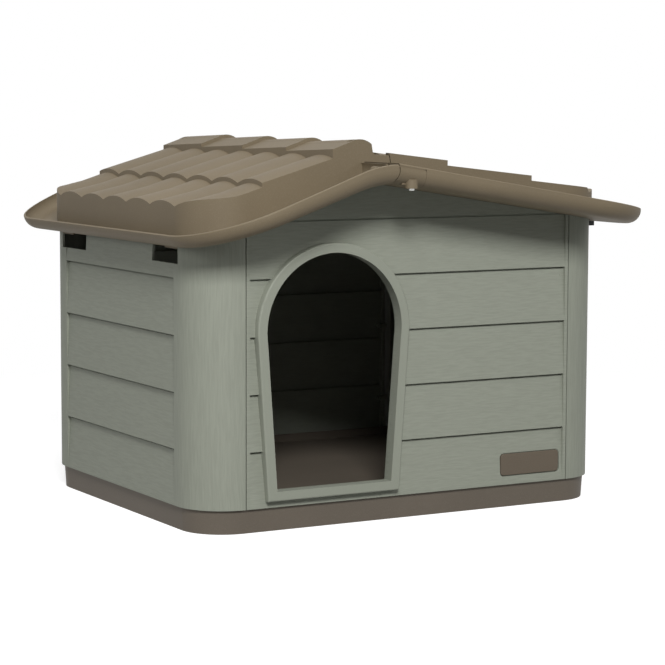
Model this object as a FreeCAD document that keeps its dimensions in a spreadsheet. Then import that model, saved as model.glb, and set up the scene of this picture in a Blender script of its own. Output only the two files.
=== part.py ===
import FreeCAD, Part
import Sketcher
import math
import os
from types import SimpleNamespace

from FreeCAD import Placement, Rotation, Vector

# Moulded plastic dog house: floor tray, four planked wall panels, and a gutter-brimmed tiled
# roof in two halves. The left half hinges open at the ridge, which lies left of the centre.
# Frame: +Z up, X to the right along the front, the front faces -Y, and the origin is under the
# centre of the house, on the ground.

doc = FreeCAD.newDocument("dog_house")
sheet = doc.addObject("Spreadsheet::Sheet", "Sizes")

SIZES = [
    # walls
    ("house_width", 640.0, "outer width over the side walls"),
    ("house_depth", 505.0, "outer depth over the gable walls"),
    ("corner_radius", 66.0, "plan radius of the rounded corners"),
    ("pillar_wrap", 76.0, "how far a corner pillar reaches along the side wall"),
    ("plank_pitch", 75.0, "height of one plank"),
    ("plank_taper", 4.0, "how far a plank leans back from foot to top"),
    ("groove_height", 2.5, "shadow groove under each plank"),
    ("groove_sink", 2.0, "depth of that groove behind the plank below"),
    ("wall_skin", 3.0, "thickness of the wall skins"),
    ("foot_flange", 13.0, "width of the flange under each wall"),
    ("stile_width", 5.0, "plain upright strip at each side of a gable panel"),
    ("stile_depth", 12.0, "how far the stiles reach inwards"),
    ("seam_gap", 1.4, "gap at the upright panel seams"),
    # base
    ("base_height", 32.0, "height of the floor tray below the walls"),
    ("base_inset", 4.0, "tray set in from the wall faces"),
    ("base_draft", 2.0, "how far the tray tapers in towards the ground"),
    ("base_skin", 3.0, "thickness of the tray"),
    ("upstand_height", 12.0, "rim inside the wall feet"),
    ("upstand_gap", 1.0, "clearance between that rim and the wall flanges"),
    ("rib_count_x", 9.0, "ribs across the tray"),
    ("rib_count_y", 7.0, "ribs along the tray"),
    # doorway
    ("door_x", -125.5, "centre of the doorway"),
    ("door_sill", 54.0, "height of the sill"),
    ("door_spring", 262.0, "height at which the arch starts"),
    ("door_radius", 101.5, "radius of the arch"),
    ("door_foot_half", 86.5, "half width of the doorway at the sill"),
    ("surround_width", 13.0, "face width of the raised surround"),
    ("surround_proud", 9.0, "how far the surround stands out"),
    ("surround_depth", 18.0, "depth of the reveal"),
    # name plate
    ("plate_x", 192.8, "centre of the name plate"),
    ("plate_z", 59.6, "height of its centre"),
    ("plate_width", 97.0, "width of the plate"),
    ("plate_height", 30.0, "height of the plate"),
    ("plate_corner", 5.0, "corner radius of the plate"),
    ("plate_thick", 2.5, "thickness of the plate"),
    ("plate_gap", 1.2, "gap round the plate in its recess"),
    ("plate_sink", 1.2, "front of the plate behind the wall face"),
    # slots at the top of the side walls
    ("slot_lap", 12.5, "how far each top slot runs into the corner pillar"),
    ("slot_width", 80.0, "width of each top slot"),
    ("slot_height", 25.0, "height of the slots below the roof flange"),
    ("slot_bridge", 5.3, "strip of the right wall left over its slots"),
    ("tab_width", 38.0, "width of the roof's locating tabs"),
    ("tab_drop", 9.0, "how far the tabs hang into the slots"),
    ("tab_thick", 3.0, "thickness of the tabs"),
    # roof outline
    ("gable_overhang", 93.0, "brim beyond the gable walls"),
    ("left_overhang", 34.0, "brim beyond the left wall"),
    ("right_overhang", 45.0, "brim beyond the right wall"),
    ("brim_corner", 115.0, "plan radius of the brim's corners"),
    ("brim_height", 26.0, "height of the brim at the crest"),
    ("brim_roll", 18.0, "radius of the rolled edge"),
    ("rim_round", 1.3, "rounding of the rim's outer edge"),
    ("left_taper", 0.02, "how fast the left brim gets lower towards the eave"),
    ("right_taper", 0.008, "the same for the right brim"),
    ("roof_skin", 3.0, "thickness of the roof shells"),
    ("seat_gap", 0.3, "clearance between the lid and what it rests on"),
    ("skirt_gap", 0.6, "clearance between the roof skirts and the walls"),
    ("seat_width", 10.0, "roof flange that lies over the wall tops"),
    ("crest_x", -78.0, "where the left rim is level"),
    ("crest_z", 480.3, "height of the rim there"),
    ("crest_radius", 158.0, "curve of the left rim near the ridge"),
    ("left_pitch", 20.5, "slope of the left rim in degrees"),
    ("flare_x", -279.5, "where the left rim starts to flatten"),
    ("flare_radius", 1535.0, "curve of the left rim near the eave"),
    ("right_start", 481.3, "height of the right rim at the crest"),
    ("right_pitch", 9.26, "slope of the right rim in degrees"),
    # tiles
    ("roll_count", 7.0, "rolls of the right courses"),
    ("roll_height", 6.8, "height of a roll over its valleys"),
    ("left_roll_pitch", 75.0, "distance between the rolls of the left courses"),
    ("verge_width", 8.0, "flat strip at the front and rear edges of the right courses"),
    ("verge_slant", 3.0, "slanted inner side of that strip"),
    ("left_course_x", -232.0, "where the upper left course starts"),
    ("left_bend_x", -268.0, "where the lower left course bends"),
    ("left_nose_rise", 24.2, "valleys over the rim at the eave course's lower edge"),
    ("left_step_rise", 20.4, "the same at the upper left course's lower edge"),
    ("left_bend_rise", 17.0, "the same at the bend"),
    ("left_top_rise", 14.6, "the same at the eave course's upper edge"),
    ("left_ridge_rise", 11.5, "the same at the ridge tiles"),
    ("right_course_1", 50.0, "lower edge of the top right course"),
    ("right_course_2", 187.0, "lower edge of the middle right course"),
    ("right_nose_rise", 21.5, "lower edge of a right course over the rim"),
    ("right_top_rise", 14.5, "upper edge of a right course over the rim"),
    # ridge tiles
    ("cap_count", 4.0, "ridge tiles along the ridge"),
    ("cap_left", -127.6, "left face of the ridge tiles"),
    ("cap_right", -67.0, "right face of the ridge tiles"),
    ("cap_shoulder_x", -101.7, "where their top turns level"),
    ("cap_side_rise", 18.0, "top of the left face over the crest"),
    ("cap_shoulder_rise", 26.8, "the shoulder over the crest"),
    ("cap_end_rise", 24.3, "top of the right face over the crest"),
    ("cap_lift", 5.0, "rise of each ridge tile towards the front"),
    ("cap_foot", 4.0, "width of the slanted foot at the right face"),
    ("band_rise", 9.5, "flat strip right of the ridge tiles over the crest"),
    # hinge
    ("hinge_x", -99.5, "place of the hinge axis"),
    ("hinge_z", 472.0, "height of the hinge axis"),
    ("lid_reach", 59.5, "radius of the lid's right end about the axis"),
    ("brim_reach", 19.6, "radius of the left brim's end about the axis"),
    ("joint_gap", 1.5, "gap between the two halves round those ends"),
    ("lid_skirt_drop", 20.0, "skirt right of the axis reaches this far below it"),
    ("relief_width", 9.5, "slot in the lid that passes the wall tops when it opens"),
    ("ear_thick", 6.0, "lug on the lid that turns on the pin"),
    ("ear_radius", 5.5, "radius of that lug"),
    ("ear_inset", 63.0, "distance of the lug from the skirt"),
    ("arm_thick", 7.0, "arm of the hinge bracket"),
    ("arm_radius", 5.5, "radius of the arm's end"),
    ("hinge_gap", 0.3, "side clearance between arm and lug"),
    ("pin_radius", 3.0, "hinge pin"),
    ("pin_fit", 0.06, "radial clearance of the pin in the lug"),
    ("pin_head_radius", 4.8, "head of the hinge pin"),
    ("pin_head_thick", 2.5, "thickness of that head"),
    ("pin_tail", 1.5, "how far the pin runs past the lug"),
    # hinge bracket and its screw
    ("bracket_right", -39.5, "right end of the bracket in the right brim"),
    ("bracket_fit", 0.4, "gap round the bracket"),
    ("bracket_top", 2.5, "strip of rim left over the bracket"),
    ("bracket_slit", 1.8, "gap between that strip and the bracket"),
    ("bracket_thick", 5.0, "thickness of the bracket behind the brim's face"),
    ("boss_x", -57.0, "axis of the screw boss"),
    ("boss_inset", 9.0, "distance of the boss axis from the rim"),
    ("boss_radius", 8.5, "radius of the boss"),
    ("boss_foot", 449.0, "height of the boss's foot"),
    ("bar_foot", 461.0, "underside of the bar that the boss screw bites"),
    ("bar_height", 10.0, "height of that bar"),
    ("bar_inset", 5.5, "distance of the bar from the brim's face"),
    ("bar_depth", 12.0, "depth of that bar"),
    ("bar_end", 3.5, "how far the bar runs past the bracket into the brim"),
    ("screw_head_radius", 4.6, "head of the boss screw"),
    ("screw_head_height", 3.0, "height of that head"),
    ("screw_radius", 2.0, "shank of the boss screw"),
    ("screw_length", 22.0, "length of that shank"),
    ("screw_slot", 1.1, "width of the cross in the screw heads"),
    ("screw_fit", 0.06, "radial clearance of a screw in its hole"),
    # wall screws
    ("wall_screw_count", 3.0, "screws at each upright seam"),
    ("wall_screw_low", 90.0, "height of the lowest wall screw"),
    ("wall_screw_pitch", 115.0, "distance between wall screws"),
    ("wall_screw_head", 4.0, "radius of a wall screw's head"),
    ("wall_screw_head_height", 2.4, "height of a wall screw's head"),
    ("wall_screw_radius", 1.75, "shank of a wall screw"),
    ("wall_screw_length", 13.0, "length of that shank"),
    ("wall_boss_radius", 4.5, "boss that takes a wall screw"),
    ("wall_boss_length", 12.0, "length of that boss"),
    # clips of the fixed roof half
    ("clip_width", 30.0, "width of a roof clip in its slot"),
    ("clip_head_extra", 13.0, "how far its head runs past the slot"),
    ("clip_reach", 14.0, "how far a clip stands out of the wall"),
    ("clip_thick", 3.0, "thickness of a clip"),
    ("clip_rise", 6.2, "height of a clip's head"),
    ("clip_leg", 5.0, "thickness of its leg inside the house"),
    ("clip_barb", 4.0, "how far its barb lies over the roof flange"),
    ("clip_fit", 0.4, "clearance of a clip"),
]

for row, (alias, value, note) in enumerate(SIZES, 1):
    sheet.set("A%d" % row, note)
    sheet.set("B%d" % row, repr(value))
    sheet.setAlias("B%d" % row, alias)
doc.recompute()
D = SimpleNamespace(**{alias: float(sheet.get(alias)) for alias, value, note in SIZES})

FAR = 2.0 * (D.house_width + D.house_depth)
HALF_WIDTH = D.house_width / 2
HALF_DEPTH = D.house_depth / 2
ROOF_HALF_DEPTH = HALF_DEPTH + D.gable_overhang
SEAM_X = HALF_WIDTH - D.corner_radius
PILLAR_Y = HALF_DEPTH - D.pillar_wrap
SLOT_END = PILLAR_Y + D.slot_lap
SKIRT = D.skirt_gap + D.roof_skin
AXIS = Vector(D.hinge_x, 0, D.hinge_z)
PITCH = math.radians(D.left_pitch)
RIGHT_SLOPE = math.tan(math.radians(D.right_pitch))
EAR_NEAR = HALF_DEPTH + SKIRT + D.ear_inset - D.ear_thick
EAR_FAR = EAR_NEAR + D.ear_thick
ARM_NEAR = EAR_FAR + D.hinge_gap
ARM_FAR = ARM_NEAR + D.arm_thick
SIDES = (("front", -1), ("rear", 1))


# ---------------------------------------------------------------- helpers

def keep(name, shape):
    """Adds one sub-part with a given shape."""
    piece = doc.addObject("Part::Feature", name)
    piece.Label = name
    piece.Shape = shape
    piece.Placement = Placement()
    return piece


def box(x0, x1, y0, y1, z0, z1):
    """A block between two corners given in any order."""
    low = Vector(min(x0, x1), min(y0, y1), min(z0, z1))
    return Part.makeBox(abs(x1 - x0), abs(y1 - y0), abs(z1 - z0), low)


def rod(radius, y0, y1, x=D.hinge_x, z=D.hinge_z):
    """A cylinder along Y."""
    return Part.makeCylinder(radius, abs(y1 - y0), Vector(x, min(y0, y1), z), Vector(0, 1, 0))


def rounded_plan(x0, x1, d, r, z):
    """A rectangle from x0 to x1 and from -d to d with round corners, at a height."""
    k = r * (1 - math.sqrt(0.5))
    edges = []
    for x, sx, sy in [(x1, 1, -1), (x1, 1, 1), (x0, -1, 1), (x0, -1, -1)]:
        along = Vector(x - sx * r, sy * d, z)
        across = Vector(x, sy * (d - r), z)
        middle = Vector(x - sx * k, sy * (d - k), z)
        start, end = (along, across) if sx * sy < 0 else (across, along)
        if edges:
            edges.append(Part.makeLine(edges[-1].Vertexes[-1].Point, start))
        edges.append(Part.Arc(start, middle, end).toShape())
    edges.append(Part.makeLine(edges[-1].Vertexes[-1].Point, edges[0].Vertexes[0].Point))
    return Part.Wire(edges)


def plan_wire(offset, z):
    """The walls' rounded outline, grown by an offset, at a height."""
    w = HALF_WIDTH + offset
    return rounded_plan(-w, w, HALF_DEPTH + offset, D.corner_radius + offset, z)


def plan_prism(offset, z0=-FAR, z1=FAR):
    """A straight-sided block on that outline."""
    return Part.Face(plan_wire(offset, z0)).extrude(Vector(0, 0, z1 - z0))


def brim_prism(inset):
    """The same on the brim's outline, drawn in by an inset."""
    wire = rounded_plan(-HALF_WIDTH - D.left_overhang + inset,
                        HALF_WIDTH + D.right_overhang - inset,
                        ROOF_HALF_DEPTH - inset, D.brim_corner - inset, -FAR)
    return Part.Face(wire).extrude(Vector(0, 0, 2 * FAR))


def profile_prism(points, depth=FAR):
    """A polygon in X and Z, extruded along Y about the middle."""
    corners = [Vector(x, -depth / 2, z) for x, z in points]
    face = Part.Face(Part.makePolygon(corners + corners[:1]))
    return face.extrude(Vector(0, depth, 0))


def mirror_y(shape):
    return shape.mirror(Vector(0, 0, 0), Vector(0, 1, 0))


def mirror_x(shape):
    return shape.mirror(Vector(0, 0, 0), Vector(1, 0, 0))


# ---------------------------------------------------------------- roof lines

def on_slope(radius, x, z, angle):
    """The point at an angle from the top of a circle, on its left."""
    return x - radius * math.sin(angle), z + radius * math.cos(angle)


def left_curve(taper):
    """The left rim's crest arc, slope and flare arc, with the slope eased by a taper."""
    pitch = math.atan(math.tan(PITCH) - taper)
    crest_centre = (D.crest_x, D.crest_z - D.crest_radius)
    crest_end = on_slope(D.crest_radius, *crest_centre, pitch)
    flare_z = crest_end[1] - math.tan(pitch) * (crest_end[0] - D.flare_x)
    flare_centre = on_slope(D.flare_radius, D.flare_x, flare_z, pitch)
    return SimpleNamespace(slope=math.tan(pitch), crest_centre=crest_centre,
                           crest_end=crest_end, flare_centre=flare_centre)


RIM = left_curve(0)
UNDERSIDE = left_curve(D.left_taper)


def left_line(x, lift):
    """The left rim raised by a lift; what runs below it keeps the underside's easier slope."""
    curve = UNDERSIDE if lift < 0 else RIM
    if x < D.flare_x:
        run = x - curve.flare_centre[0]
        return curve.flare_centre[1] - math.sqrt(D.flare_radius ** 2 - run ** 2) + lift
    if x < curve.crest_end[0]:
        return curve.crest_end[1] - curve.slope * (curve.crest_end[0] - x) + lift
    if x < D.crest_x:
        run = x - D.crest_x
        return curve.crest_centre[1] + math.sqrt(D.crest_radius ** 2 - run ** 2) + lift
    return D.crest_z + lift


def left_rim(x):
    """Height of the left rim."""
    return left_line(x, 0)


def right_line(x, lift):
    """The right rim raised by a lift; what runs below it has the underside's easier slope."""
    slope = RIGHT_SLOPE - (D.right_taper if lift < 0 else 0)
    return D.right_start - slope * (x - D.crest_x) + lift


def right_rim(x):
    """Height of the right rim."""
    return right_line(x, 0)


def rim_edges(x0, x1, lift, y):
    """The left rim between two places as arcs and a line, raised by a lift."""
    crest_end = (UNDERSIDE if lift < 0 else RIM).crest_end[0]
    breaks = [x for x in (D.flare_x, crest_end) if x0 < x < x1]
    stops = [x0] + breaks + [x1]
    edges = []
    for a, b in zip(stops, stops[1:]):
        start = Vector(a, y, left_line(a, lift))
        end = Vector(b, y, left_line(b, lift))
        m = (a + b) / 2
        middle = Vector(m, y, left_line(m, lift))
        if D.flare_x <= m <= crest_end:
            edges.append(Part.makeLine(start, end))
        else:
            edges.append(Part.Arc(start, middle, end).toShape())
    return edges


def left_slab(low, high, x1, depth=FAR):
    """The space between two lifts of the left rim, up to a place right of the eave."""
    x0 = -HALF_WIDTH - 2 * D.left_overhang
    x1 = min(x1, D.crest_x)
    y = -depth / 2
    upper = rim_edges(x0, x1, high, y)
    lower = rim_edges(x0, x1, low, y)
    right = Part.makeLine(upper[-1].Vertexes[-1].Point, lower[-1].Vertexes[-1].Point)
    left = Part.makeLine(lower[0].Vertexes[0].Point, upper[0].Vertexes[0].Point)
    wire = Part.Wire(Part.__sortEdges__(upper + [right] + lower + [left]))
    return Part.Face(wire).extrude(Vector(0, depth, 0))


def right_slab(low, high, x0):
    """The same between two lifts of the right rim."""
    x1 = HALF_WIDTH + 2 * D.right_overhang
    return profile_prism([
        (x0, right_line(x0, low)), (x1, right_line(x1, low)),
        (x1, right_line(x1, high)), (x0, right_line(x0, high)),
    ])


def under_roof(gap):
    """Everything below the roof's underside, less a gap."""
    low = -D.brim_height - gap
    left = left_slab(-FAR, low, D.crest_x)
    right = right_slab(-FAR, low, D.crest_x)
    return left.fuse(right).removeSplitter()


# ---------------------------------------------------------------- base

def make_base_tray():
    top = D.base_height
    skin = D.base_skin
    outer = Part.makeLoft(
        [plan_wire(-D.base_inset - D.base_draft, 0), plan_wire(-D.base_inset, top)], True, True)
    inner = Part.makeLoft(
        [plan_wire(-D.base_inset - D.base_draft - skin, -skin),
         plan_wire(-D.base_inset - skin, top - skin)], True, True)
    ribs = []
    for index in range(int(D.rib_count_x)):
        x = D.house_width * ((index + 1) / (D.rib_count_x + 1) - 0.5)
        ribs.append(box(x - skin / 2, x + skin / 2, -HALF_DEPTH, HALF_DEPTH, 0, top))
    for index in range(int(D.rib_count_y)):
        y = D.house_depth * ((index + 1) / (D.rib_count_y + 1) - 0.5)
        ribs.append(box(-HALF_WIDTH, HALF_WIDTH, y - skin / 2, y + skin / 2, 0, top))
    ribbing = ribs[0].multiFuse(ribs[1:]).common(outer)
    rim_offset = -D.foot_flange - D.upstand_gap
    rim = plan_prism(rim_offset, top - skin, top + D.upstand_height)
    rim = rim.cut(plan_prism(rim_offset - skin))
    tray = outer.cut(inner).fuse(ribbing).fuse(rim).removeSplitter()
    keep("base_tray", tray)


# ---------------------------------------------------------------- walls

def plank_section(face, rows):
    """Outline of a planked skin: distance behind the wall face, and height."""
    outside = []
    inside = []
    skin = D.wall_skin
    for row in range(rows):
        foot = D.base_height + row * D.plank_pitch
        top = foot + D.plank_pitch
        back = D.plank_taper + D.groove_sink
        outside += [
            (0, foot), (D.plank_taper, top - D.groove_height), (back, top - D.groove_height),
            (back, top),
        ]
        inside += [(skin, foot + (skin if row else 0)), (back + skin, top + skin)]
    inside[-1] = (inside[-1][0], outside[-1][1])
    return [(face + a, z) for a, z in outside + inside[::-1]]


def planked_skin(x0, x1, rows):
    """A planked skin whose outer face is at the front of the house."""
    points = [Vector(x0, y, z) for y, z in plank_section(-HALF_DEPTH, rows)]
    face = Part.Face(Part.makePolygon(points + points[:1]))
    return face.extrude(Vector(x1 - x0, 0, 0))


def plank_rows(top):
    return int(math.ceil((top - D.base_height) / D.plank_pitch))


def doorway(grow, y0, y1):
    """The arched opening, grown by an amount on every side."""
    spring_half = D.door_radius + grow
    foot_half = D.door_foot_half + grow
    sill = D.door_sill - grow
    corners = [
        (D.door_x - foot_half, sill), (D.door_x + foot_half, sill),
        (D.door_x + spring_half, D.door_spring), (D.door_x - spring_half, D.door_spring),
    ]
    points = [Vector(x, y0, z) for x, z in corners]
    legs = Part.Face(Part.makePolygon(points + points[:1])).extrude(Vector(0, y1 - y0, 0))
    arch = rod(spring_half, y0, y1, D.door_x, D.door_spring)
    return legs.fuse(arch).removeSplitter()


def gable_panel():
    """The plain planked gable panel, facing the front."""
    x1 = SEAM_X - D.seam_gap
    stile_in = x1 - D.stile_width
    y0 = -HALF_DEPTH
    y1 = y0 + D.stile_depth
    z0 = D.base_height
    skin = planked_skin(-stile_in, stile_in, plank_rows(D.crest_z))
    parts = [
        box(-x1, -stile_in, y0, y1, z0, D.crest_z),
        box(stile_in, x1, y0, y1, z0, D.crest_z),
        box(-stile_in, stile_in, y0, y0 + D.foot_flange, z0, z0 + D.wall_skin),
    ]
    panel = skin.multiFuse(parts)
    for side in (-1, 1):
        for z in wall_screw_heights():
            start = Vector(side * x1, y0 + D.stile_depth, z)
            length = D.wall_boss_length
            boss = Part.makeCylinder(D.wall_boss_radius, length, start, Vector(-side, 0, 0))
            web = box(side * x1, side * (x1 - length), y0 + D.wall_skin, start.y,
                      z - D.wall_skin / 2, z + D.wall_skin / 2)
            panel = panel.fuse(boss).fuse(web)
    for side in (-1, 1):
        for z in wall_screw_heights():
            start = Vector(side * (x1 + 1), y0 + D.stile_depth, z)
            bore = Part.makeCylinder(D.wall_screw_radius + D.screw_fit, D.wall_screw_length + 2,
                                     start, Vector(-side, 0, 0))
            panel = panel.cut(bore)
    return panel.common(under_roof(D.seat_gap)).removeSplitter()


def wall_screw_heights():
    return [D.wall_screw_low + index * D.wall_screw_pitch
            for index in range(int(D.wall_screw_count))]


def make_front_wall():
    y_out = -HALF_DEPTH - D.surround_proud
    y_in = y_out + D.surround_depth
    surround = doorway(D.surround_width, y_out, y_in)
    front = [edge for edge in surround.Edges
             if abs(edge.BoundBox.YMin - y_out) < 0.01 and abs(edge.BoundBox.YMax - y_out) < 0.01]
    surround = surround.makeFillet(D.surround_width / 6, front)
    panel = gable_panel().fuse(surround)
    panel = panel.cut(doorway(0, y_out - 1, y_in + D.foot_flange))
    recess_floor = -HALF_DEPTH + D.plate_sink + D.plate_thick
    backing = plate_block(D.plate_gap + D.wall_skin, -HALF_DEPTH + D.plank_taper,
                          recess_floor + D.wall_skin)
    recess = plate_block(D.plate_gap, -HALF_DEPTH - D.plank_taper, recess_floor)
    panel = panel.fuse(backing).cut(recess)
    keep("front_wall", panel.removeSplitter())


def plate_block(grow, y0, y1):
    """A block in the shape of the name plate, grown all round."""
    w = D.plate_width / 2 + grow
    t = D.plate_height / 2 + grow
    block = box(D.plate_x - w, D.plate_x + w, y0, y1, D.plate_z - t, D.plate_z + t)
    edges = [edge for edge in block.Edges if edge.BoundBox.YLength > abs(y1 - y0) / 2]
    return block.makeFillet(D.plate_corner + grow, edges)


def make_rear_wall():
    keep("rear_wall", mirror_y(gable_panel()))


def side_panel(side):
    """A side wall: planks between two rounded corner pillars that wrap to the gables."""
    z0 = D.base_height
    skin = D.wall_skin
    ring = plan_prism(0, z0, D.crest_z).cut(plan_prism(-skin))
    foot = plan_prism(0, z0, z0 + skin).cut(plan_prism(-D.foot_flange))
    shell = ring.fuse(foot).common(box(SEAM_X, FAR, -FAR, FAR, -FAR, FAR))
    window = box(HALF_WIDTH - 2 * skin, FAR, -PILLAR_Y, PILLAR_Y, z0 + skin, FAR)
    shell = shell.cut(window)
    rows = plank_rows(right_rim(HALF_WIDTH))
    points = [Vector(-a, -PILLAR_Y, z) for a, z in plank_section(-HALF_WIDTH, rows)]
    planks = Part.Face(Part.makePolygon(points + points[:1]))
    planks = planks.extrude(Vector(0, 2 * PILLAR_Y, 0))
    cheek_in = HALF_WIDTH - skin - D.plank_taper - D.groove_sink
    cheeks = [box(cheek_in, HALF_WIDTH, y * (PILLAR_Y - 0.01), y * (PILLAR_Y + skin), z0, FAR / 2)
              for y in (-1, 1)]
    flanges = [box(SEAM_X, SEAM_X + skin, y * HALF_DEPTH, y * (HALF_DEPTH - 2 * D.stile_depth),
                   z0, FAR / 2) for y in (-1, 1)]
    flanges = [flange.common(plan_prism(0)) for flange in flanges]
    panel = shell.multiFuse([planks] + cheeks + flanges)
    panel = panel.cut(plan_prism(-D.foot_flange, z0, z0 + D.upstand_height + D.upstand_gap))
    for y in (-1, 1):
        for z in wall_screw_heights():
            start = Vector(SEAM_X - 1, y * (HALF_DEPTH - D.stile_depth), z)
            panel = panel.cut(Part.makeCylinder(D.wall_screw_radius + D.screw_fit, skin + 2,
                                                start, Vector(1, 0, 0)))
    under = (left_line(-HALF_WIDTH, -D.brim_height) if side < 0
             else right_line(HALF_WIDTH, -D.brim_height))
    slot_top = FAR / 2 if side < 0 else under - D.seat_gap - D.slot_bridge
    rim = left_rim(-HALF_WIDTH) if side < 0 else right_rim(HALF_WIDTH)
    slot_foot = rim - D.brim_height - D.slot_height
    for y in (-1, 1):
        panel = panel.cut(box(HALF_WIDTH - 4 * skin, FAR, y * (SLOT_END - D.slot_width),
                              y * SLOT_END, slot_foot, slot_top))
    if side < 0:
        panel = mirror_x(panel)
    return panel.common(under_roof(D.seat_gap)).removeSplitter()


def make_side_walls():
    keep("left_wall", side_panel(-1))
    keep("right_wall", side_panel(1))


# ---------------------------------------------------------------- roof

def rolled_brim(slab, inset, roll):
    """A slab trimmed to the brim's outline, with its lower outer edge rolled under."""
    outline = brim_prism(inset)
    brim = slab.common(outline)
    return brim.makeFillet(roll, outer_edges(brim, outline, 1))


def rounded_rim(slab):
    """A slab trimmed to the brim's outline, with its upper outer edge rounded."""
    outline = brim_prism(0)
    brim = slab.common(outline)
    return brim.makeFillet(D.rim_round, outer_edges(brim, outline, -1))


def outer_edges(brim, outline, way):
    """Edges round the brim's outer wall: with way 1 of its underside, with -1 of its rim."""
    picked = []
    step = Vector(0, 0, way * D.roof_skin / 2)
    for edge in brim.Edges:
        middle = edge.valueAt((edge.FirstParameter + edge.LastParameter) / 2)
        upright = abs(edge.tangentAt((edge.FirstParameter + edge.LastParameter) / 2).z) > 0.9
        if upright or outline.Shells[0].distToShape(Part.Vertex(middle))[0] > 0.01:
            continue
        inner = middle + Vector(-middle.x, -middle.y, 0).normalize()
        if brim.isInside(inner + step, 0.01, True) and not brim.isInside(inner - step, 0.01, True):
            picked.append(edge)
    return picked


def scallops(x, z, flat, count, verge):
    """Section across a count of rolls at a place: crests at z, side strips at a verge."""
    pitch = 2 * flat / count
    valley = z - D.roll_height
    low = z - 2 * D.brim_height
    slant = flat + D.verge_slant
    edges = [Part.makeLine(Vector(x, -FAR / 4, low), Vector(x, -FAR / 4, verge)),
             Part.makeLine(Vector(x, -FAR / 4, verge), Vector(x, -slant, verge)),
             Part.makeLine(Vector(x, -slant, verge), Vector(x, -flat, valley))]
    for index in range(count):
        start = -flat + index * pitch
        edges.append(Part.Arc(Vector(x, start, valley), Vector(x, start + pitch / 2, z),
                              Vector(x, start + pitch, valley)).toShape())
    edges += [Part.makeLine(Vector(x, flat, valley), Vector(x, slant, verge)),
              Part.makeLine(Vector(x, slant, verge), Vector(x, FAR / 4, verge)),
              Part.makeLine(Vector(x, FAR / 4, verge), Vector(x, FAR / 4, low)),
              Part.makeLine(Vector(x, FAR / 4, low), Vector(x, -FAR / 4, low))]
    return Part.Face(Part.Wire(edges))


def left_course(start, end):
    """One left course between two points of its crest line; its rolls run out at the sides."""
    side_rolls = math.ceil((HALF_DEPTH + SKIRT) / D.left_roll_pitch - 0.5)
    count = 2 * side_rolls + 1
    face = scallops(start[0], start[1], count * D.left_roll_pitch / 2, count,
                    start[1] - D.roll_height)
    return face.extrude(Vector(end[0] - start[0], 0, end[1] - start[1]))


def right_course(start, end):
    """One right course, with flat strips level with its crests at the sides."""
    face = scallops(start[0], start[1], HALF_DEPTH - D.verge_width, int(D.roll_count), start[1])
    return face.extrude(Vector(end[0] - start[0], 0, end[1] - start[1]))


def ridge_tiles():
    """The overlapping ridge tiles, each rising a little towards the front."""
    count = int(D.cap_count)
    depth = HALF_DEPTH + SKIRT
    pitch = 2 * depth / count
    z = D.crest_z
    foot = z + D.band_rise
    low = z - D.brim_height / 2
    tiles = []
    for index in range(count):
        y = -depth + index * pitch
        line = [Vector(D.cap_right + D.cap_foot, y, low), Vector(D.cap_left, y, low),
                Vector(D.cap_left, y, z + D.cap_side_rise),
                Vector(D.cap_shoulder_x, y, z + D.cap_shoulder_rise)]
        crown = (D.cap_shoulder_x + D.cap_right) / 2
        crown_rise = (D.cap_shoulder_rise + D.cap_end_rise) / 2 + D.cap_lift
        arc = Part.Arc(line[-1], Vector(crown, y, z + crown_rise),
                       Vector(D.cap_right - D.cap_foot / 2, y, z + D.cap_end_rise))
        tail = [arc.EndPoint, Vector(D.cap_right, y, foot + D.cap_foot),
                Vector(D.cap_right + D.cap_foot, y, foot), line[0]]
        wire = Part.Wire(Part.makePolygon(line).Edges + [arc.toShape()]
                         + Part.makePolygon(tail).Edges)
        tiles.append(Part.Face(wire).extrude(Vector(0, pitch, -D.cap_lift)))
    return tiles


def beside_axis(radius, sign):
    """Everything left of the axis with a disc about it, or with sign 1 all outside a disc."""
    disc = rod(radius, -FAR / 2, FAR / 2)
    if sign > 0:
        return box(D.hinge_x, FAR / 2, -FAR / 2, FAR / 2, -FAR / 2, FAR / 2).cut(disc)
    return box(-FAR / 2, D.hinge_x, -FAR / 2, FAR / 2, -FAR / 2, FAR / 2).fuse(disc)


def left_crests():
    """Crest line of the left courses: pairs of end points."""
    x0 = -HALF_WIDTH - SKIRT - D.roof_skin
    roll = D.roll_height
    nose = (x0, left_rim(-HALF_WIDTH - SKIRT) + D.left_nose_rise + roll)
    bend = (D.left_bend_x, left_rim(D.left_bend_x) + D.left_bend_rise + roll)
    top_1 = (D.left_course_x, left_rim(D.left_course_x) + D.left_top_rise + roll)
    nose_2 = (D.left_course_x, left_rim(D.left_course_x) + D.left_step_rise + roll)
    top_2 = (D.cap_left, left_rim(D.cap_left) + D.left_ridge_rise + roll)
    return [(nose, bend), (bend, top_1), (nose_2, top_2)]


def right_crests():
    """Crest line of the right courses: pairs of end points."""
    stops = [D.hinge_x, D.right_course_1, D.right_course_2, HALF_WIDTH + SKIRT + D.roof_skin]
    return [((a, right_rim(a) + D.right_top_rise), (b, right_rim(b) + D.right_nose_rise))
            for a, b in zip(stops, stops[1:])]


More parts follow.
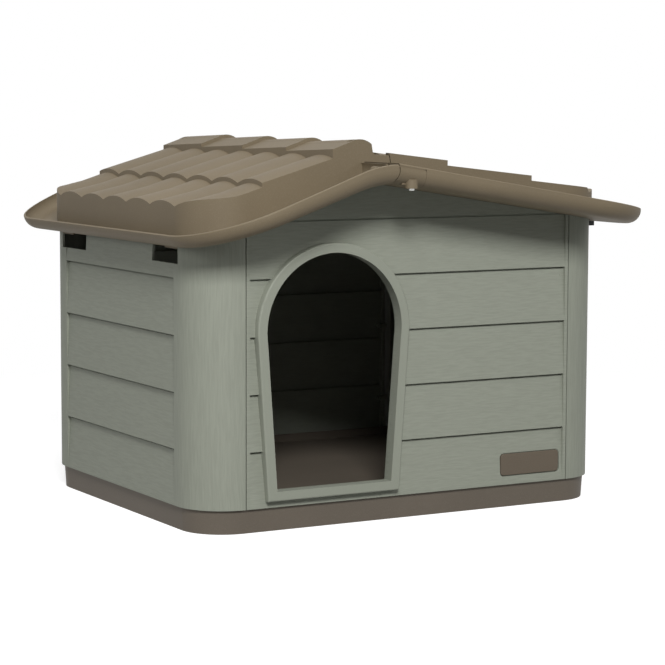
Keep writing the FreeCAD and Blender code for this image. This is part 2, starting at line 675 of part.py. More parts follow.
def left_hollow():
    """Space under the left tiles, down to the brim's floor."""
    skin = D.roof_skin
    sink = D.roll_height + skin
    points = [(left_crests()[0][0][0] + skin, D.base_height)]
    for start, end in left_crests():
        points += [(start[0] + skin, start[1] - sink), (end[0] + skin, end[1] - sink)]
    z = D.crest_z
    points += [
        (D.cap_left + skin, z + D.cap_side_rise - D.cap_lift - skin),
        (D.cap_shoulder_x, z + D.cap_shoulder_rise - D.cap_lift - skin),
        (D.cap_right - 1.5 * skin, z + D.cap_end_rise - D.cap_lift - skin),
        (D.cap_right - 1.5 * skin, z + D.band_rise - skin),
        (D.hinge_x + D.lid_reach + skin, z + D.band_rise - skin),
        (D.hinge_x + D.lid_reach + skin, D.base_height),
    ]
    return profile_prism(points)


def right_hollow():
    """Space under the right tiles."""
    skin = D.roof_skin
    sink = D.roll_height + skin
    points = [(D.hinge_x, D.base_height)]
    for start, end in right_crests():
        points += [(start[0] - skin, start[1] - sink), (end[0] - skin, end[1] - sink)]
    points += [(points[-1][0], D.base_height)]
    return profile_prism(points)


def lid_ear(side):
    """Lug that stands in the lid's gutter and turns on the hinge pin."""
    r = D.ear_radius
    lift = -D.brim_height + D.roof_skin / 2
    floor = left_line(D.hinge_x + r, lift)
    lug = rod(r, side * EAR_NEAR, side * EAR_FAR)
    web = profile_prism([
        (D.hinge_x - 2.5 * r, left_line(D.hinge_x - 2.5 * r, lift)),
        (D.hinge_x + r, floor), (D.hinge_x + r, D.hinge_z), (D.hinge_x - r, D.hinge_z),
    ])
    return lug.fuse(web.common(box(-FAR, FAR, side * EAR_NEAR, side * EAR_FAR, -FAR, FAR)))


def locating_tab(side_x, side_y, under):
    """Tab that hangs from the roof's flange into the outer end of a wall slot."""
    outer = SLOT_END - D.seat_gap
    inner = outer - D.tab_width
    x0 = side_x * HALF_WIDTH
    x1 = side_x * (HALF_WIDTH - D.tab_thick)
    return box(x0, x1, side_y * inner, side_y * outer, under - D.tab_drop, under + D.roof_skin)


def brim_shell(slab, reach, sign):
    """Rolled brim of one roof half, and the gutter space in it, ending round the hinge axis."""
    skin = D.roof_skin
    block = slab(-D.brim_height, 0)
    brim = rolled_brim(block, 0, D.brim_roll).common(rounded_rim(block))
    gutter = rolled_brim(slab(-D.brim_height + skin, D.brim_height), skin, D.brim_roll - skin)
    brim = brim.common(beside_axis(reach, sign))
    gutter = gutter.cut(plan_prism(SKIRT)).common(beside_axis(reach + sign * skin, sign))
    return brim.cut(gutter)


def make_roof_lid():
    skin = D.roof_skin
    x_right = D.hinge_x + D.lid_reach
    low = D.hinge_z - D.lid_skirt_drop
    brim = brim_shell(lambda a, b: left_slab(a, b, D.crest_x), D.brim_reach, -1)
    tiles = [left_course(start, end) for start, end in left_crests()] + ridge_tiles()
    band = box(D.cap_left, x_right + 1, -FAR / 4, FAR / 4, low, D.crest_z + D.band_rise)
    block = tiles[0].multiFuse(tiles[1:] + [band]).common(plan_prism(SKIRT))
    tail = box(D.hinge_x - 1, x_right + 1, -FAR / 2, FAR / 2, low, FAR / 2)
    block = block.common(left_slab(-D.brim_height / 2, FAR, D.hinge_x).fuse(tail))
    lid = brim.fuse(block.common(beside_axis(D.lid_reach, -1)))
    hollow = left_hollow().common(beside_axis(D.lid_reach - skin, -1))
    tail = box(D.hinge_x - 1, x_right + 1, -FAR / 2, FAR / 2, -FAR / 2, FAR / 2)
    over_floor = left_slab(-D.brim_height + skin, FAR, D.hinge_x).fuse(tail)
    lid = lid.cut(hollow.common(plan_prism(D.skirt_gap)).common(over_floor))
    lid = lid.cut(hollow.common(plan_prism(-D.seat_width)))
    under = left_line(-HALF_WIDTH, -D.brim_height)
    for name, side in SIDES:
        relief = box(D.hinge_x, x_right + 1, side * (HALF_DEPTH - D.relief_width),
                     side * (HALF_DEPTH + D.skirt_gap), 0, FAR / 2)
        arm_way = box(D.hinge_x, x_right, side * (ARM_NEAR - D.hinge_gap),
                      side * (ARM_FAR + D.hinge_gap), 0, FAR / 2)
        bore = rod(D.pin_radius + D.pin_fit, side * (EAR_NEAR - 1), side * (EAR_FAR + 1))
        lid = lid.cut(relief).cut(arm_way).fuse(lid_ear(side)).cut(bore)
        lid = lid.fuse(locating_tab(-1, side, under))
    keep("roof_lid", lid.removeSplitter())


def bracket_window(side, grow, top):
    """Space of the hinge bracket at the right brim's end, up to a height under the rim."""
    space = right_slab(-FAR / 4, -top, D.hinge_x)
    return space.common(box(D.hinge_x, D.bracket_right + grow, side * (ARM_NEAR - grow),
                            side * FAR / 2, -FAR, FAR))


def make_roof_fixed():
    skin = D.roof_skin
    x0 = D.hinge_x
    brim_gap = D.brim_reach + D.joint_gap
    block_gap = D.lid_reach + D.joint_gap
    brim = brim_shell(lambda a, b: right_slab(a, b, x0), brim_gap, 1)
    tiles = [right_course(start, end) for start, end in right_crests()]
    block = tiles[0].multiFuse(tiles[1:]).common(plan_prism(SKIRT))
    roof = brim.fuse(block.common(right_slab(-D.brim_height / 2, FAR, x0)))
    hollow = right_hollow().common(beside_axis(block_gap + skin, 1))
    over_floor = right_slab(-D.brim_height + skin, FAR, x0)
    roof = roof.cut(hollow.common(plan_prism(D.skirt_gap)).common(over_floor))
    roof = roof.cut(hollow.common(plan_prism(-D.seat_width)))
    roof = roof.common(beside_axis(brim_gap, 1))
    tail_y = HALF_DEPTH + SKIRT + D.joint_gap
    roof = roof.cut(rod(block_gap, -tail_y, tail_y))
    for name, side in SIDES:
        roof = roof.cut(bracket_window(side, D.bracket_fit, D.bracket_top))
        roof = roof.fuse(hinge_bar(side))
        bore = Part.makeCylinder(D.screw_radius + D.screw_fit, D.screw_length,
                                 boss_point(side, D.boss_foot))
        roof = roof.cut(bore)
    keep("roof_fixed", roof.removeSplitter())


def boss_point(side, z):
    return Vector(D.boss_x, side * (ROOF_HALF_DEPTH - D.boss_inset), z)


def hinge_bar(side):
    """Bar behind the bracket, held by the brim at its right, that takes the boss screw."""
    front = ROOF_HALF_DEPTH - D.bar_inset
    back = front - D.bar_depth
    x1 = D.bracket_right + D.bar_end
    z1 = D.bar_foot + D.bar_height
    bar = box(D.boss_x - D.boss_radius, x1, side * back, side * front, D.bar_foot, z1)
    root = box(D.bracket_right + D.bracket_fit, x1, side * back,
               side * (ROOF_HALF_DEPTH - D.roof_skin / 2), D.bar_foot, z1)
    return bar.fuse(root)


def make_hinge_bracket(name, side):
    """Let-in piece of the right brim with the screw boss and the arm that holds the pin."""
    outer = rolled_brim(right_slab(-D.brim_height, 0, D.hinge_x), 0, D.brim_roll)
    inner = rolled_brim(right_slab(-D.brim_height + D.bracket_thick, FAR / 4, D.hinge_x),
                        D.bracket_thick, D.brim_roll - D.bracket_thick)
    window = bracket_window(side, 0, D.bracket_top + D.bracket_slit)
    shell = outer.cut(inner).common(window).common(beside_axis(D.brim_reach + D.joint_gap, 1))
    top = D.bar_foot - D.seat_gap
    boss = Part.makeCylinder(D.boss_radius, top - D.boss_foot, boss_point(side, D.boss_foot))
    near_boss = D.boss_x - D.boss_radius - D.bracket_thick
    web = box(near_boss, D.boss_x + D.boss_radius, side * ARM_NEAR,
              side * (ROOF_HALF_DEPTH - D.boss_inset), D.boss_foot + D.bracket_thick, top)
    arm = box(D.hinge_x, near_boss + D.bracket_thick, side * ARM_NEAR, side * ARM_FAR,
              D.hinge_z - D.arm_radius, D.hinge_z + D.arm_radius / 2)
    post = box(near_boss, near_boss + 2 * D.bracket_thick, side * ARM_NEAR,
               side * ARM_FAR, D.boss_foot + D.bracket_thick, D.hinge_z)
    knuckle = rod(D.arm_radius, side * ARM_NEAR, side * ARM_FAR)
    bracket = shell.multiFuse([boss, web, arm, post, knuckle])
    bar_front = ROOF_HALF_DEPTH - D.bar_inset
    bar_room = box(D.boss_x - D.boss_radius - D.bracket_fit, FAR,
                   side * (bar_front - D.bar_depth - D.bracket_fit),
                   side * (bar_front + D.bracket_fit), top,
                   D.bar_foot + D.bar_height + D.bracket_fit)
    bracket = bracket.cut(bar_room)
    bracket = bracket.cut(rod(D.pin_radius + D.pin_fit, side * (ARM_NEAR - 1),
                              side * (ARM_FAR + 1)))
    bracket = bracket.cut(Part.makeCylinder(D.screw_radius + D.screw_fit, D.screw_length,
                                            boss_point(side, D.boss_foot - 1)))
    keep(name, bracket.removeSplitter())


# ---------------------------------------------------------------- small pieces

def new_body(name, base, turn=0):
    """A body whose origin is bound to the sheet, turned about X by quarter turns."""
    body = doc.addObject("PartDesign::Body", name)
    body.Label = name
    body.Placement = Placement(Vector(), Rotation(Vector(1, 0, 0), 90 * turn))
    for axis, expression in zip("xyz", base):
        body.setExpression("Placement.Base." + axis, expression)
    return body


def new_sketch(body, role, name, offset=None):
    """A sketch on one of the body's own planes, lifted along its normal."""
    sketch = body.newObject("Sketcher::SketchObject", body.Name + "_" + name)
    plane = [item for item in body.Origin.OriginFeatures if item.Role == role][0]
    sketch.AttachmentSupport = [(plane, "")]
    sketch.MapMode = "FlatFace"
    if offset:
        sketch.setExpression("AttachmentOffset.Base.z", offset)
    return sketch


def bind(sketch, kind, *rest):
    """Adds one dimension to a sketch and binds it to an expression."""
    *elements, expression = rest
    value = float(sheet.evalExpression(expression))
    index = sketch.addConstraint(Sketcher.Constraint(kind, *elements, value))
    sketch.setExpression("Constraints[%d]" % index, expression)


def draw_circle(sketch, radius):
    """A circle about the body's axis."""
    circle = Part.Circle(Vector(), Vector(0, 0, 1), float(sheet.evalExpression(radius)))
    index = sketch.addGeometry(circle)
    sketch.addConstraint(Sketcher.Constraint("Coincident", index, 3, -1, 1))
    bind(sketch, "Radius", index, radius)


def draw_polygon(sketch, corners):
    """A closed polygon whose corners are pairs of expressions."""
    points = [Vector(*[float(sheet.evalExpression(item)) for item in corner])
              for corner in corners]
    first = sketch.GeometryCount
    for start, end in zip(points, points[1:] + points[:1]):
        sketch.addGeometry(Part.LineSegment(start, end))
    for index, (across, up) in enumerate(corners):
        line = first + index
        following = first + (index + 1) % len(corners)
        sketch.addConstraint(Sketcher.Constraint("Coincident", line, 2, following, 1))
        bind(sketch, "DistanceX", -1, 1, line, 1, across)
        bind(sketch, "DistanceY", -1, 1, line, 1, up)


def extrude(body, sketch, length, kind="Pad", reverse=False):
    feature = body.newObject("PartDesign::" + kind, sketch.Name + "_" + kind.lower())
    feature.Profile = sketch
    feature.Reversed = reverse
    feature.setExpression("Length", length)
    body.Tip = feature
    doc.recompute()
    return feature


def round_edges(body, radius, wanted):
    """Rounds the edges of a body's last feature that a test picks."""
    base = body.Tip
    names = ["Edge%d" % (index + 1) for index, edge in enumerate(base.Shape.Edges)
             if wanted(edge)]
    fillet = body.newObject("PartDesign::Fillet", body.Name + "_round")
    fillet.Base = (base, names)
    fillet.setExpression("Radius", radius)
    body.Tip = fillet
    doc.recompute()


def make_name_plate():
    half = ("Sizes.plate_width / 2", "Sizes.plate_height / 2")
    behind = "-(Sizes.house_depth / 2 - Sizes.plate_sink - Sizes.plate_thick)"
    body = new_body("name_plate", ("Sizes.plate_x", behind, "Sizes.plate_z"), 1)
    outline = new_sketch(body, "XY_Plane", "outline")
    draw_polygon(outline, [
        ("-" + half[0], "-" + half[1]), (half[0], "-" + half[1]),
        (half[0], half[1]), ("-" + half[0], half[1]),
    ])
    extrude(body, outline, "Sizes.plate_thick")
    round_edges(body, "Sizes.plate_corner", lambda edge: edge.BoundBox.ZLength > 0.5)
    round_edges(body, "Sizes.plate_thick / 3",
                lambda edge: edge.BoundBox.ZMin > 0.5 and edge.BoundBox.ZLength < 0.5)


def make_hinge_pin(end, side):
    away = ("Sizes.house_depth / 2 + Sizes.skirt_gap + Sizes.roof_skin + Sizes.ear_inset"
            " + Sizes.hinge_gap + Sizes.arm_thick")
    base = ("Sizes.hinge_x", "%d * (%s)" % (side, away), "Sizes.hinge_z")
    body = new_body("hinge_pin_" + end, base, side)
    shank = new_sketch(body, "XY_Plane", "shank")
    draw_circle(shank, "Sizes.pin_radius")
    length = "Sizes.arm_thick + Sizes.hinge_gap + Sizes.ear_thick + Sizes.pin_tail"
    extrude(body, shank, length)
    head = new_sketch(body, "XY_Plane", "head")
    draw_circle(head, "Sizes.pin_head_radius")
    extrude(body, head, "Sizes.pin_head_thick", reverse=True)
    round_edges(body, "Sizes.pin_head_thick / 2",
                lambda edge: edge.BoundBox.ZMax < -0.5 and edge.BoundBox.ZLength < 0.5)


def make_hinge_screw(end, side):
    inset = "%d * (Sizes.house_depth / 2 + Sizes.gable_overhang - Sizes.boss_inset)" % side
    body = new_body("hinge_screw_" + end, ("Sizes.boss_x", inset, "Sizes.boss_foot"))
    shank = new_sketch(body, "XY_Plane", "shank")
    draw_circle(shank, "Sizes.screw_radius")
    extrude(body, shank, "Sizes.screw_length")
    head = new_sketch(body, "XY_Plane", "head")
    draw_circle(head, "Sizes.screw_head_radius")
    extrude(body, head, "Sizes.screw_head_height", reverse=True)
    round_edges(body, "Sizes.screw_head_height / 2",
                lambda edge: edge.BoundBox.ZMax < -0.5 and edge.BoundBox.ZLength < 0.5)
    cross = new_sketch(body, "XY_Plane", "cross", "-Sizes.screw_head_height")
    arm = "Sizes.screw_head_radius * 0.6"
    wide = "Sizes.screw_slot / 2"
    draw_polygon(cross, [
        (wide, wide), (arm, wide), (arm, "-" + wide), (wide, "-" + wide),
        (wide, "-" + arm), ("-" + wide, "-" + arm), ("-" + wide, "-" + wide),
        ("-" + arm, "-" + wide), ("-" + arm, wide), ("-" + wide, wide),
        ("-" + wide, arm), (wide, arm),
    ])
    extrude(body, cross, "Sizes.screw_head_height / 2", "Pocket", reverse=True)


def make_roof_clip(end, side):
    """Clip through a slot of the right wall that holds the roof's flange down on it."""
    wall = "Sizes.house_width / 2"
    slope = "(tan(Sizes.right_pitch * 1 deg) - Sizes.right_taper)"
    seat = ("(Sizes.right_start - %s * (%s - Sizes.crest_x) - Sizes.brim_height"
            " - Sizes.seat_gap - Sizes.slot_bridge - Sizes.clip_fit)") % (slope, wall)
    slot_end = ("%d * (Sizes.house_depth / 2 - Sizes.pillar_wrap + Sizes.slot_lap"
                " - Sizes.clip_fit)") % side
    body = new_body("roof_clip_" + end, ("0", slot_end, "0"))
    edge = "(%s - Sizes.seat_width - Sizes.clip_fit)" % wall
    outer = wall + " + Sizes.clip_reach"
    inner = edge + " - Sizes.clip_leg"
    face = wall + " + Sizes.clip_fit"
    low = seat + " - Sizes.clip_thick"
    top = low + " + Sizes.clip_rise"
    over = ("(Sizes.right_start - %s * (%s - Sizes.crest_x) - Sizes.brim_height"
            " + Sizes.roof_skin + Sizes.clip_fit)") % (slope, edge)
    profile = new_sketch(body, "XZ_Plane", "profile")
    draw_polygon(profile, [
        (inner, low), (outer, low), (outer, top), (face, top), (face, seat),
        (edge, seat), (edge, over), (edge + " + Sizes.clip_barb", over),
        (edge, over + " + Sizes.clip_thick"), (inner, over + " + Sizes.clip_thick"),
    ])
    extrude(body, profile, "Sizes.clip_width", reverse=side < 0)
    head = new_sketch(body, "XZ_Plane", "head")
    draw_polygon(head, [(face, low), (outer, low), (outer, top), (face, top)])
    extrude(body, head, "Sizes.clip_head_extra", reverse=side > 0)


def make_wall_screws(end, side):
    """The screws of one gable: through the side walls' flanges into its bosses."""
    screws = []
    for way in (-1, 1):
        for z in wall_screw_heights():
            seat = Vector(way * (SEAM_X + D.wall_skin), side * (HALF_DEPTH - D.stile_depth), z)
            inward = Vector(-way, 0, 0)
            shank = Part.makeCylinder(D.wall_screw_radius, D.wall_screw_length, seat, inward)
            head = Part.makeCylinder(D.wall_screw_head, D.wall_screw_head_height, seat,
                                     Vector(way, 0, 0))
            screws.append(shank.fuse(head).removeSplitter())
    keep("wall_screws_" + end, Part.makeCompound(screws))


make_base_tray()
make_front_wall()
make_rear_wall()
make_side_walls()
make_roof_lid()
make_roof_fixed()
for end, side in SIDES:
    make_hinge_bracket("hinge_bracket_" + end, side)
    make_hinge_pin(end, side)
    make_hinge_screw(end, side)
    make_roof_clip(end, side)
    make_wall_screws(end, side)
make_name_plate()

doc.recompute()
for item in doc.Objects:
    if "Invalid" in item.State or "Error" in item.State:
        raise SystemExit("%s could not be built" % item.Label)
pieces = [item for item in doc.Objects if item.TypeId in ("Part::Feature", "PartDesign::Body")]
for piece in pieces:
    if piece.Shape.isNull() or not piece.Shape.isValid():
        raise SystemExit("%s is not sound" % piece.Label)
os.makedirs("parts", exist_ok=True)
for piece in pieces:
    print(piece.Label, len(piece.Shape.Solids), round(piece.Shape.Volume / 1000, 1))
    piece.Shape.exportStep("parts/%s.step" % piece.Label)
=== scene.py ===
import math

import bpy
from mathutils import Matrix, Vector

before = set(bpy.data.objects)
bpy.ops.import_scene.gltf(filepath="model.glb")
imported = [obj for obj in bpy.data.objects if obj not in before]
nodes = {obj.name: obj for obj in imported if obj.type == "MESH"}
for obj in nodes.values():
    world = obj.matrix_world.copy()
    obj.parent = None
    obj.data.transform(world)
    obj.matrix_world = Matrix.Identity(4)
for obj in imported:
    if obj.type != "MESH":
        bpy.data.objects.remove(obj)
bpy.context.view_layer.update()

# Dog house in moulded plastic: planked walls with a wood grain, a speckled tiled roof whose left
# half opens at the ridge, and an arched doorway. Metres, +Z up, the front faces -Y.
# Every visible piece is a CAD node with a material of its own.

# Camera
PHOTO_SIZE = 665.0
FOCAL_PX = 2258.86
SENSOR_MM = 36.0
CAMERA_PLACE = Vector((-1.5917, -2.8193, 0.5665))
CAMERA_YAW = math.radians(29.74)
CAMERA_PITCH = math.radians(-5.963)
CAMERA_ROLL = math.radians(0.19)
CLIP_END = 50

# Light: name, azimuth, elevation, distance, size, power
LAMPS = [
    ("key", -25, 33, 3.6, 0.8, 109),
    ("side", -82, 16, 3.6, 1.2, 18),
    ("fill", 48, 24, 3.8, 1.4, 18),
    ("top", 0, 84, 3.4, 2.4, 38),
]
LAMP_TARGET = Vector((0, 0, 0.25))
AMBIENT = 0.09

# Floor: what it bounces, what the camera sees of it, and where it has faded to white
FLOOR_BOUNCE = 0.25
FLOOR_SHADE = 0.50
FLOOR_GLOW = 0.80
FLOOR_FADE = (0.55, 1.5)
FLOOR_HALF = 12.0
FLOOR_DROP = 0.0005

# Colours
WALL = (0.255, 0.270, 0.222)
ROOF = (0.152, 0.120, 0.075)
ROOF_SPECK = (0.24, 0.195, 0.14)
BASE = (0.117, 0.098, 0.076)
BASE_SPECK = (0.20, 0.17, 0.14)
PLATE = (0.105, 0.084, 0.060)
PLATE_SPECK = (0.16, 0.13, 0.10)
BLACK = (0.012, 0.012, 0.012)
BLACK_SPECK = (0.03, 0.03, 0.03)
PIN = (0.08, 0.07, 0.055)
PIN_SPECK = (0.1, 0.09, 0.08)
STEEL = (0.62, 0.62, 0.60)

# Wood grain: it runs level on the planks and upright on the corner pillars, which start at
# POST_START from the middle of a side wall; the gable panels have no pillar.
POST_START = 0.1765
NO_POST = 1.0
GABLE_FACE = 0.2528
LEVEL_GRAIN = (40.0, 40.0, 420.0)
UPRIGHT_GRAIN = (420.0, 420.0, 22.0)
GRAIN_WAVE = 0.006
SMOOTH_LEVEL = 0.5


# ---------------------------------------------------------------- nodes

def node_adder(tree):
    """Adds a node to an emptied tree; values are its settings or else its inputs."""
    tree.nodes.clear()

    def add(kind, **values):
        item = tree.nodes.new(kind)
        for key, value in values.items():
            if hasattr(item, key):
                setattr(item, key, value)
            else:
                item.inputs[key.replace("_", " ")].default_value = value
        return item

    return add


def node_material(name):
    """An empty node material, its node adder and its link adder."""
    material = bpy.data.materials.new(name)
    material.use_nodes = True
    tree = material.node_tree
    return material, node_adder(tree), tree.links.new


def grey(level):
    return (level, level, level, 1)


def white_to_camera(add, link):
    """1 for the rays that show white: from the camera, from gloss and through glass."""
    path = add("ShaderNodeLightPath")
    first = add("ShaderNodeMath", operation="MAXIMUM")
    link(path.outputs["Is Camera Ray"], first.inputs[0])
    link(path.outputs["Is Glossy Ray"], first.inputs[1])
    both = add("ShaderNodeMath", operation="MAXIMUM")
    link(first.outputs[0], both.inputs[0])
    link(path.outputs["Is Transmission Ray"], both.inputs[1])
    return both.outputs[0]


# ---------------------------------------------------------------- camera and studio

def add_camera():
    forward = Vector((math.sin(CAMERA_YAW) * math.cos(CAMERA_PITCH),
                      math.cos(CAMERA_YAW) * math.cos(CAMERA_PITCH),
                      math.sin(CAMERA_PITCH)))
    level = Vector((math.cos(CAMERA_YAW), -math.sin(CAMERA_YAW), 0))
    upright = level.cross(forward)
    right = level * math.cos(CAMERA_ROLL) + upright * math.sin(CAMERA_ROLL)
    up = upright * math.cos(CAMERA_ROLL) - level * math.sin(CAMERA_ROLL)
    data = bpy.data.cameras.new("camera")
    data.sensor_width = SENSOR_MM
    data.lens = SENSOR_MM * FOCAL_PX / PHOTO_SIZE
    data.clip_end = CLIP_END
    camera = bpy.data.objects.new("camera", data)
    turn = Matrix((right, up, -forward)).transposed().to_4x4()
    camera.matrix_world = Matrix.Translation(CAMERA_PLACE) @ turn
    bpy.context.scene.collection.objects.link(camera)
    bpy.context.scene.camera = camera


def add_lamp(name, azimuth, elevation, distance, size, power):
    """A square soft lamp that faces the house: azimuth 0 is in front, positive to the right."""
    data = bpy.data.lights.new(name, "AREA")
    data.shape = "SQUARE"
    data.size = size
    data.energy = power
    lamp = bpy.data.objects.new(name, data)
    a = math.radians(azimuth)
    e = math.radians(elevation)
    away = Vector((math.sin(a) * math.cos(e), -math.cos(a) * math.cos(e), math.sin(e)))
    lamp.location = LAMP_TARGET + away * distance
    lamp.rotation_euler = (-away).to_track_quat("-Z", "Y").to_euler()
    bpy.context.scene.collection.objects.link(lamp)


def add_world():
    """White to the camera, and a faint even light on the house."""
    world = bpy.data.worlds.new("studio")
    world.use_nodes = True
    bpy.context.scene.world = world
    link = world.node_tree.links.new
    add = node_adder(world.node_tree)
    seen = add("ShaderNodeBackground", Strength=1.0, Color=grey(1))
    lit = add("ShaderNodeBackground", Strength=AMBIENT, Color=grey(1))
    mix = add("ShaderNodeMixShader")
    link(white_to_camera(add, link), mix.inputs[0])
    link(lit.outputs[0], mix.inputs[1])
    link(seen.outputs[0], mix.inputs[2])
    out = add("ShaderNodeOutputWorld")
    link(mix.outputs[0], out.inputs[0])


def add_floor():
    """A pale floor that keeps the house's shadow and fades to plain white away from it."""
    material, add, link = node_material("floor")
    paint = add("ShaderNodeBsdfDiffuse", Color=grey(FLOOR_BOUNCE))
    shown = add("ShaderNodeBsdfDiffuse", Color=grey(FLOOR_SHADE))
    glow = add("ShaderNodeEmission", Strength=FLOOR_GLOW)
    near = add("ShaderNodeAddShader")
    link(shown.outputs[0], near.inputs[0])
    link(glow.outputs[0], near.inputs[1])
    white = add("ShaderNodeEmission", Strength=1.0)
    place = add("ShaderNodeTexCoord")
    reach = add("ShaderNodeVectorMath", operation="LENGTH")
    link(place.outputs["Object"], reach.inputs[0])
    fade = add("ShaderNodeMapRange", interpolation_type="SMOOTHSTEP",
               From_Min=FLOOR_FADE[0], From_Max=FLOOR_FADE[1])
    link(reach.outputs["Value"], fade.inputs["Value"])
    seen = add("ShaderNodeMixShader")
    link(fade.outputs["Result"], seen.inputs[0])
    link(near.outputs[0], seen.inputs[1])
    link(white.outputs[0], seen.inputs[2])
    mix = add("ShaderNodeMixShader")
    link(white_to_camera(add, link), mix.inputs[0])
    link(paint.outputs[0], mix.inputs[1])
    link(seen.outputs[0], mix.inputs[2])
    out = add("ShaderNodeOutputMaterial")
    link(mix.outputs[0], out.inputs[0])
    h = FLOOR_HALF
    mesh = bpy.data.meshes.new("floor")
    mesh.from_pydata([(-h, -h, 0), (h, -h, 0), (h, h, 0), (-h, h, 0)], [], [(0, 1, 2, 3)])
    mesh.materials.append(material)
    floor = bpy.data.objects.new("floor", mesh)
    floor.location.z = -FLOOR_DROP
    bpy.context.scene.collection.objects.link(floor)


# ---------------------------------------------------------------- materials

def shades(add, colour, low, high, start, end):
    """A ramp from a darker to a lighter shade of one colour."""
    ramp = add("ShaderNodeValToRGB")
    for stop, place, factor in zip(ramp.color_ramp.elements, (start, end), (low, high)):
        stop.position = place
        stop.color = (*[min(c * factor, 1) for c in colour], 1)
    return ramp


def finished(material, add, link, colour, bump, roughness):
    """Puts the plastic shader behind a colour and a bump."""
    shader = add("ShaderNodeBsdfPrincipled", Roughness=roughness, Specular_IOR_Level=0.35)
    link(colour, shader.inputs["Base Color"])
    link(bump.outputs["Normal"], shader.inputs["Normal"])
    out = add("ShaderNodeOutputMaterial")
    link(shader.outputs[0], out.inputs[0])
    return material


def speckled_plastic(name, colour, speck, roughness=0.62):
    """Matte moulded plastic with fine light specks and a faint cloudiness."""
    material, add, link = node_material(name)
    place = add("ShaderNodeTexCoord")
    cloud = add("ShaderNodeTexNoise", Scale=7.0, Detail=3.0, Roughness=0.55)
    link(place.outputs["Object"], cloud.inputs["Vector"])
    tint = shades(add, colour, 0.95, 1.05, 0.35, 0.65)
    link(cloud.outputs["Fac"], tint.inputs["Fac"])
    grit = add("ShaderNodeTexNoise", Scale=900.0, Detail=1.0, Roughness=0.6)
    link(place.outputs["Object"], grit.inputs["Vector"])
    sharp = shades(add, (1, 1, 1), 0.0, 0.30, 0.50, 0.80)
    link(grit.outputs["Fac"], sharp.inputs["Fac"])
    blend = add("ShaderNodeMix", data_type="RGBA")
    link(sharp.outputs["Color"], blend.inputs["Factor"])
    link(tint.outputs["Color"], blend.inputs["A"])
    blend.inputs["B"].default_value = (*speck, 1)
    bump = add("ShaderNodeBump", Strength=0.2, Distance=0.0003)
    link(grit.outputs["Fac"], bump.inputs["Height"])
    return finished(material, add, link, blend.outputs["Result"], bump, roughness)


def streaks(add, link, place, scale):
    """Fine wavy lines, stretched along the axes whose scale is small."""
    wave = add("ShaderNodeTexNoise", Scale=14.0, Detail=2.0)
    link(place.outputs["Object"], wave.inputs["Vector"])
    shift = add("ShaderNodeVectorMath", operation="MULTIPLY_ADD")
    link(wave.outputs["Color"], shift.inputs[0])
    shift.inputs[1].default_value = (GRAIN_WAVE,) * 3
    link(place.outputs["Object"], shift.inputs[2])
    stretch = add("ShaderNodeMapping", Scale=scale)
    link(shift.outputs["Vector"], stretch.inputs["Vector"])
    lines = add("ShaderNodeTexNoise", Scale=1.0, Detail=2.5, Roughness=0.6, Distortion=0.4)
    link(stretch.outputs["Vector"], lines.inputs["Vector"])
    return lines


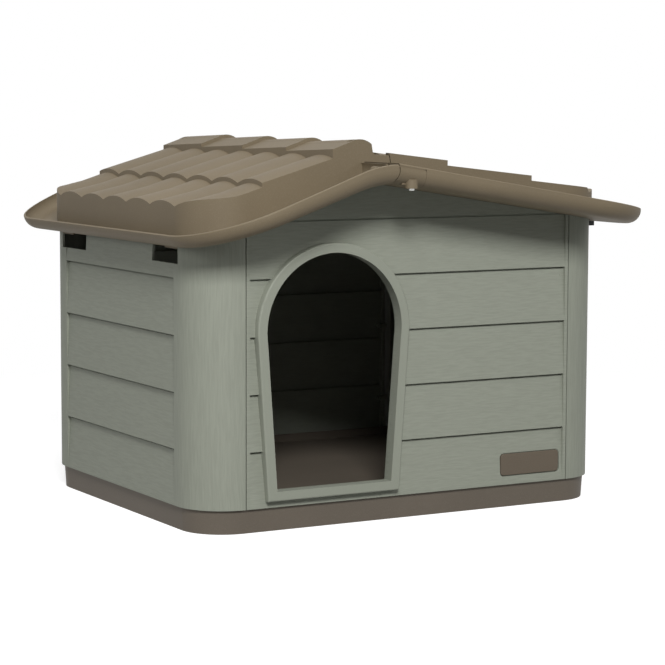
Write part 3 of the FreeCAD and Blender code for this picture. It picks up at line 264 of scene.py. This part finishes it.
def grained_plastic(name, colour, axis, post_start):
    """Matte plastic with an embossed wood grain: level on planks, upright beyond post_start.

    The distance to post_start is measured along the axis that the planks run along. What
    stands out in front of the front gable, the doorway's surround, is smooth.
    """
    material, add, link = node_material(name)
    place = add("ShaderNodeTexCoord")
    level = streaks(add, link, place, LEVEL_GRAIN)
    upright = streaks(add, link, place, UPRIGHT_GRAIN)
    split = add("ShaderNodeSeparateXYZ")
    link(place.outputs["Object"], split.inputs[0])
    away = add("ShaderNodeMath", operation="ABSOLUTE")
    link(split.outputs[axis], away.inputs[0])
    on_post = add("ShaderNodeMath", operation="GREATER_THAN")
    link(away.outputs[0], on_post.inputs[0])
    on_post.inputs[1].default_value = post_start
    wood = add("ShaderNodeMix", data_type="FLOAT")
    link(on_post.outputs[0], wood.inputs["Factor"])
    link(level.outputs["Fac"], wood.inputs["A"])
    link(upright.outputs["Fac"], wood.inputs["B"])
    ahead = add("ShaderNodeMath", operation="LESS_THAN")
    link(split.outputs["Y"], ahead.inputs[0])
    ahead.inputs[1].default_value = -GABLE_FACE
    grain = add("ShaderNodeMix", data_type="FLOAT")
    link(ahead.outputs[0], grain.inputs["Factor"])
    link(wood.outputs["Result"], grain.inputs["A"])
    grain.inputs["B"].default_value = SMOOTH_LEVEL
    tint = shades(add, colour, 0.94, 1.04, 0.36, 0.62)
    link(grain.outputs["Result"], tint.inputs["Fac"])
    bump = add("ShaderNodeBump", Strength=0.5, Distance=0.0005)
    link(grain.outputs["Result"], bump.inputs["Height"])
    return finished(material, add, link, tint.outputs["Color"], bump, 0.6)


def metal(name, colour):
    """Plated metal with fine wear."""
    material, add, link = node_material(name)
    place = add("ShaderNodeTexCoord")
    wear = add("ShaderNodeTexNoise", Scale=900.0, Detail=3.0)
    link(place.outputs["Object"], wear.inputs["Vector"])
    tint = shades(add, colour, 0.7, 1.0, 0.0, 1.0)
    link(wear.outputs["Fac"], tint.inputs["Fac"])
    shader = add("ShaderNodeBsdfPrincipled", Metallic=1.0, Roughness=0.32)
    link(tint.outputs["Color"], shader.inputs["Base Color"])
    out = add("ShaderNodeOutputMaterial")
    link(shader.outputs[0], out.inputs[0])
    return material


gable_grain = grained_plastic("gable_grain", WALL, "X", NO_POST)
side_grain = grained_plastic("side_grain", WALL, "Y", POST_START)
roof_skin = speckled_plastic("roof_skin", ROOF, ROOF_SPECK)
base_skin = speckled_plastic("base_skin", BASE, BASE_SPECK)
plate_skin = speckled_plastic("plate_skin", PLATE, PLATE_SPECK)
black_plastic = speckled_plastic("black_plastic", BLACK, BLACK_SPECK, 0.5)
pin_plastic = speckled_plastic("pin_plastic", PIN, PIN_SPECK, 0.5)
screw_metal = metal("screw_metal", STEEL)

MATERIALS = {
    "base_tray": base_skin, "front_wall": gable_grain, "rear_wall": gable_grain,
    "left_wall": side_grain, "right_wall": side_grain, "roof_lid": roof_skin,
    "roof_fixed": roof_skin, "name_plate": plate_skin,
}
for end in ("front", "rear"):
    MATERIALS["hinge_bracket_" + end] = roof_skin
    MATERIALS["hinge_pin_" + end] = pin_plastic
    MATERIALS["hinge_screw_" + end] = screw_metal
    MATERIALS["roof_clip_" + end] = black_plastic
    MATERIALS["wall_screws_" + end] = screw_metal

for name, material in MATERIALS.items():
    mesh = nodes[name].data
    mesh.materials.clear()
    mesh.materials.append(material)

add_camera()
add_world()
add_floor()
for lamp in LAMPS:
    add_lamp(*lamp)

view = bpy.context.scene.view_settings
view.view_transform = "Standard"
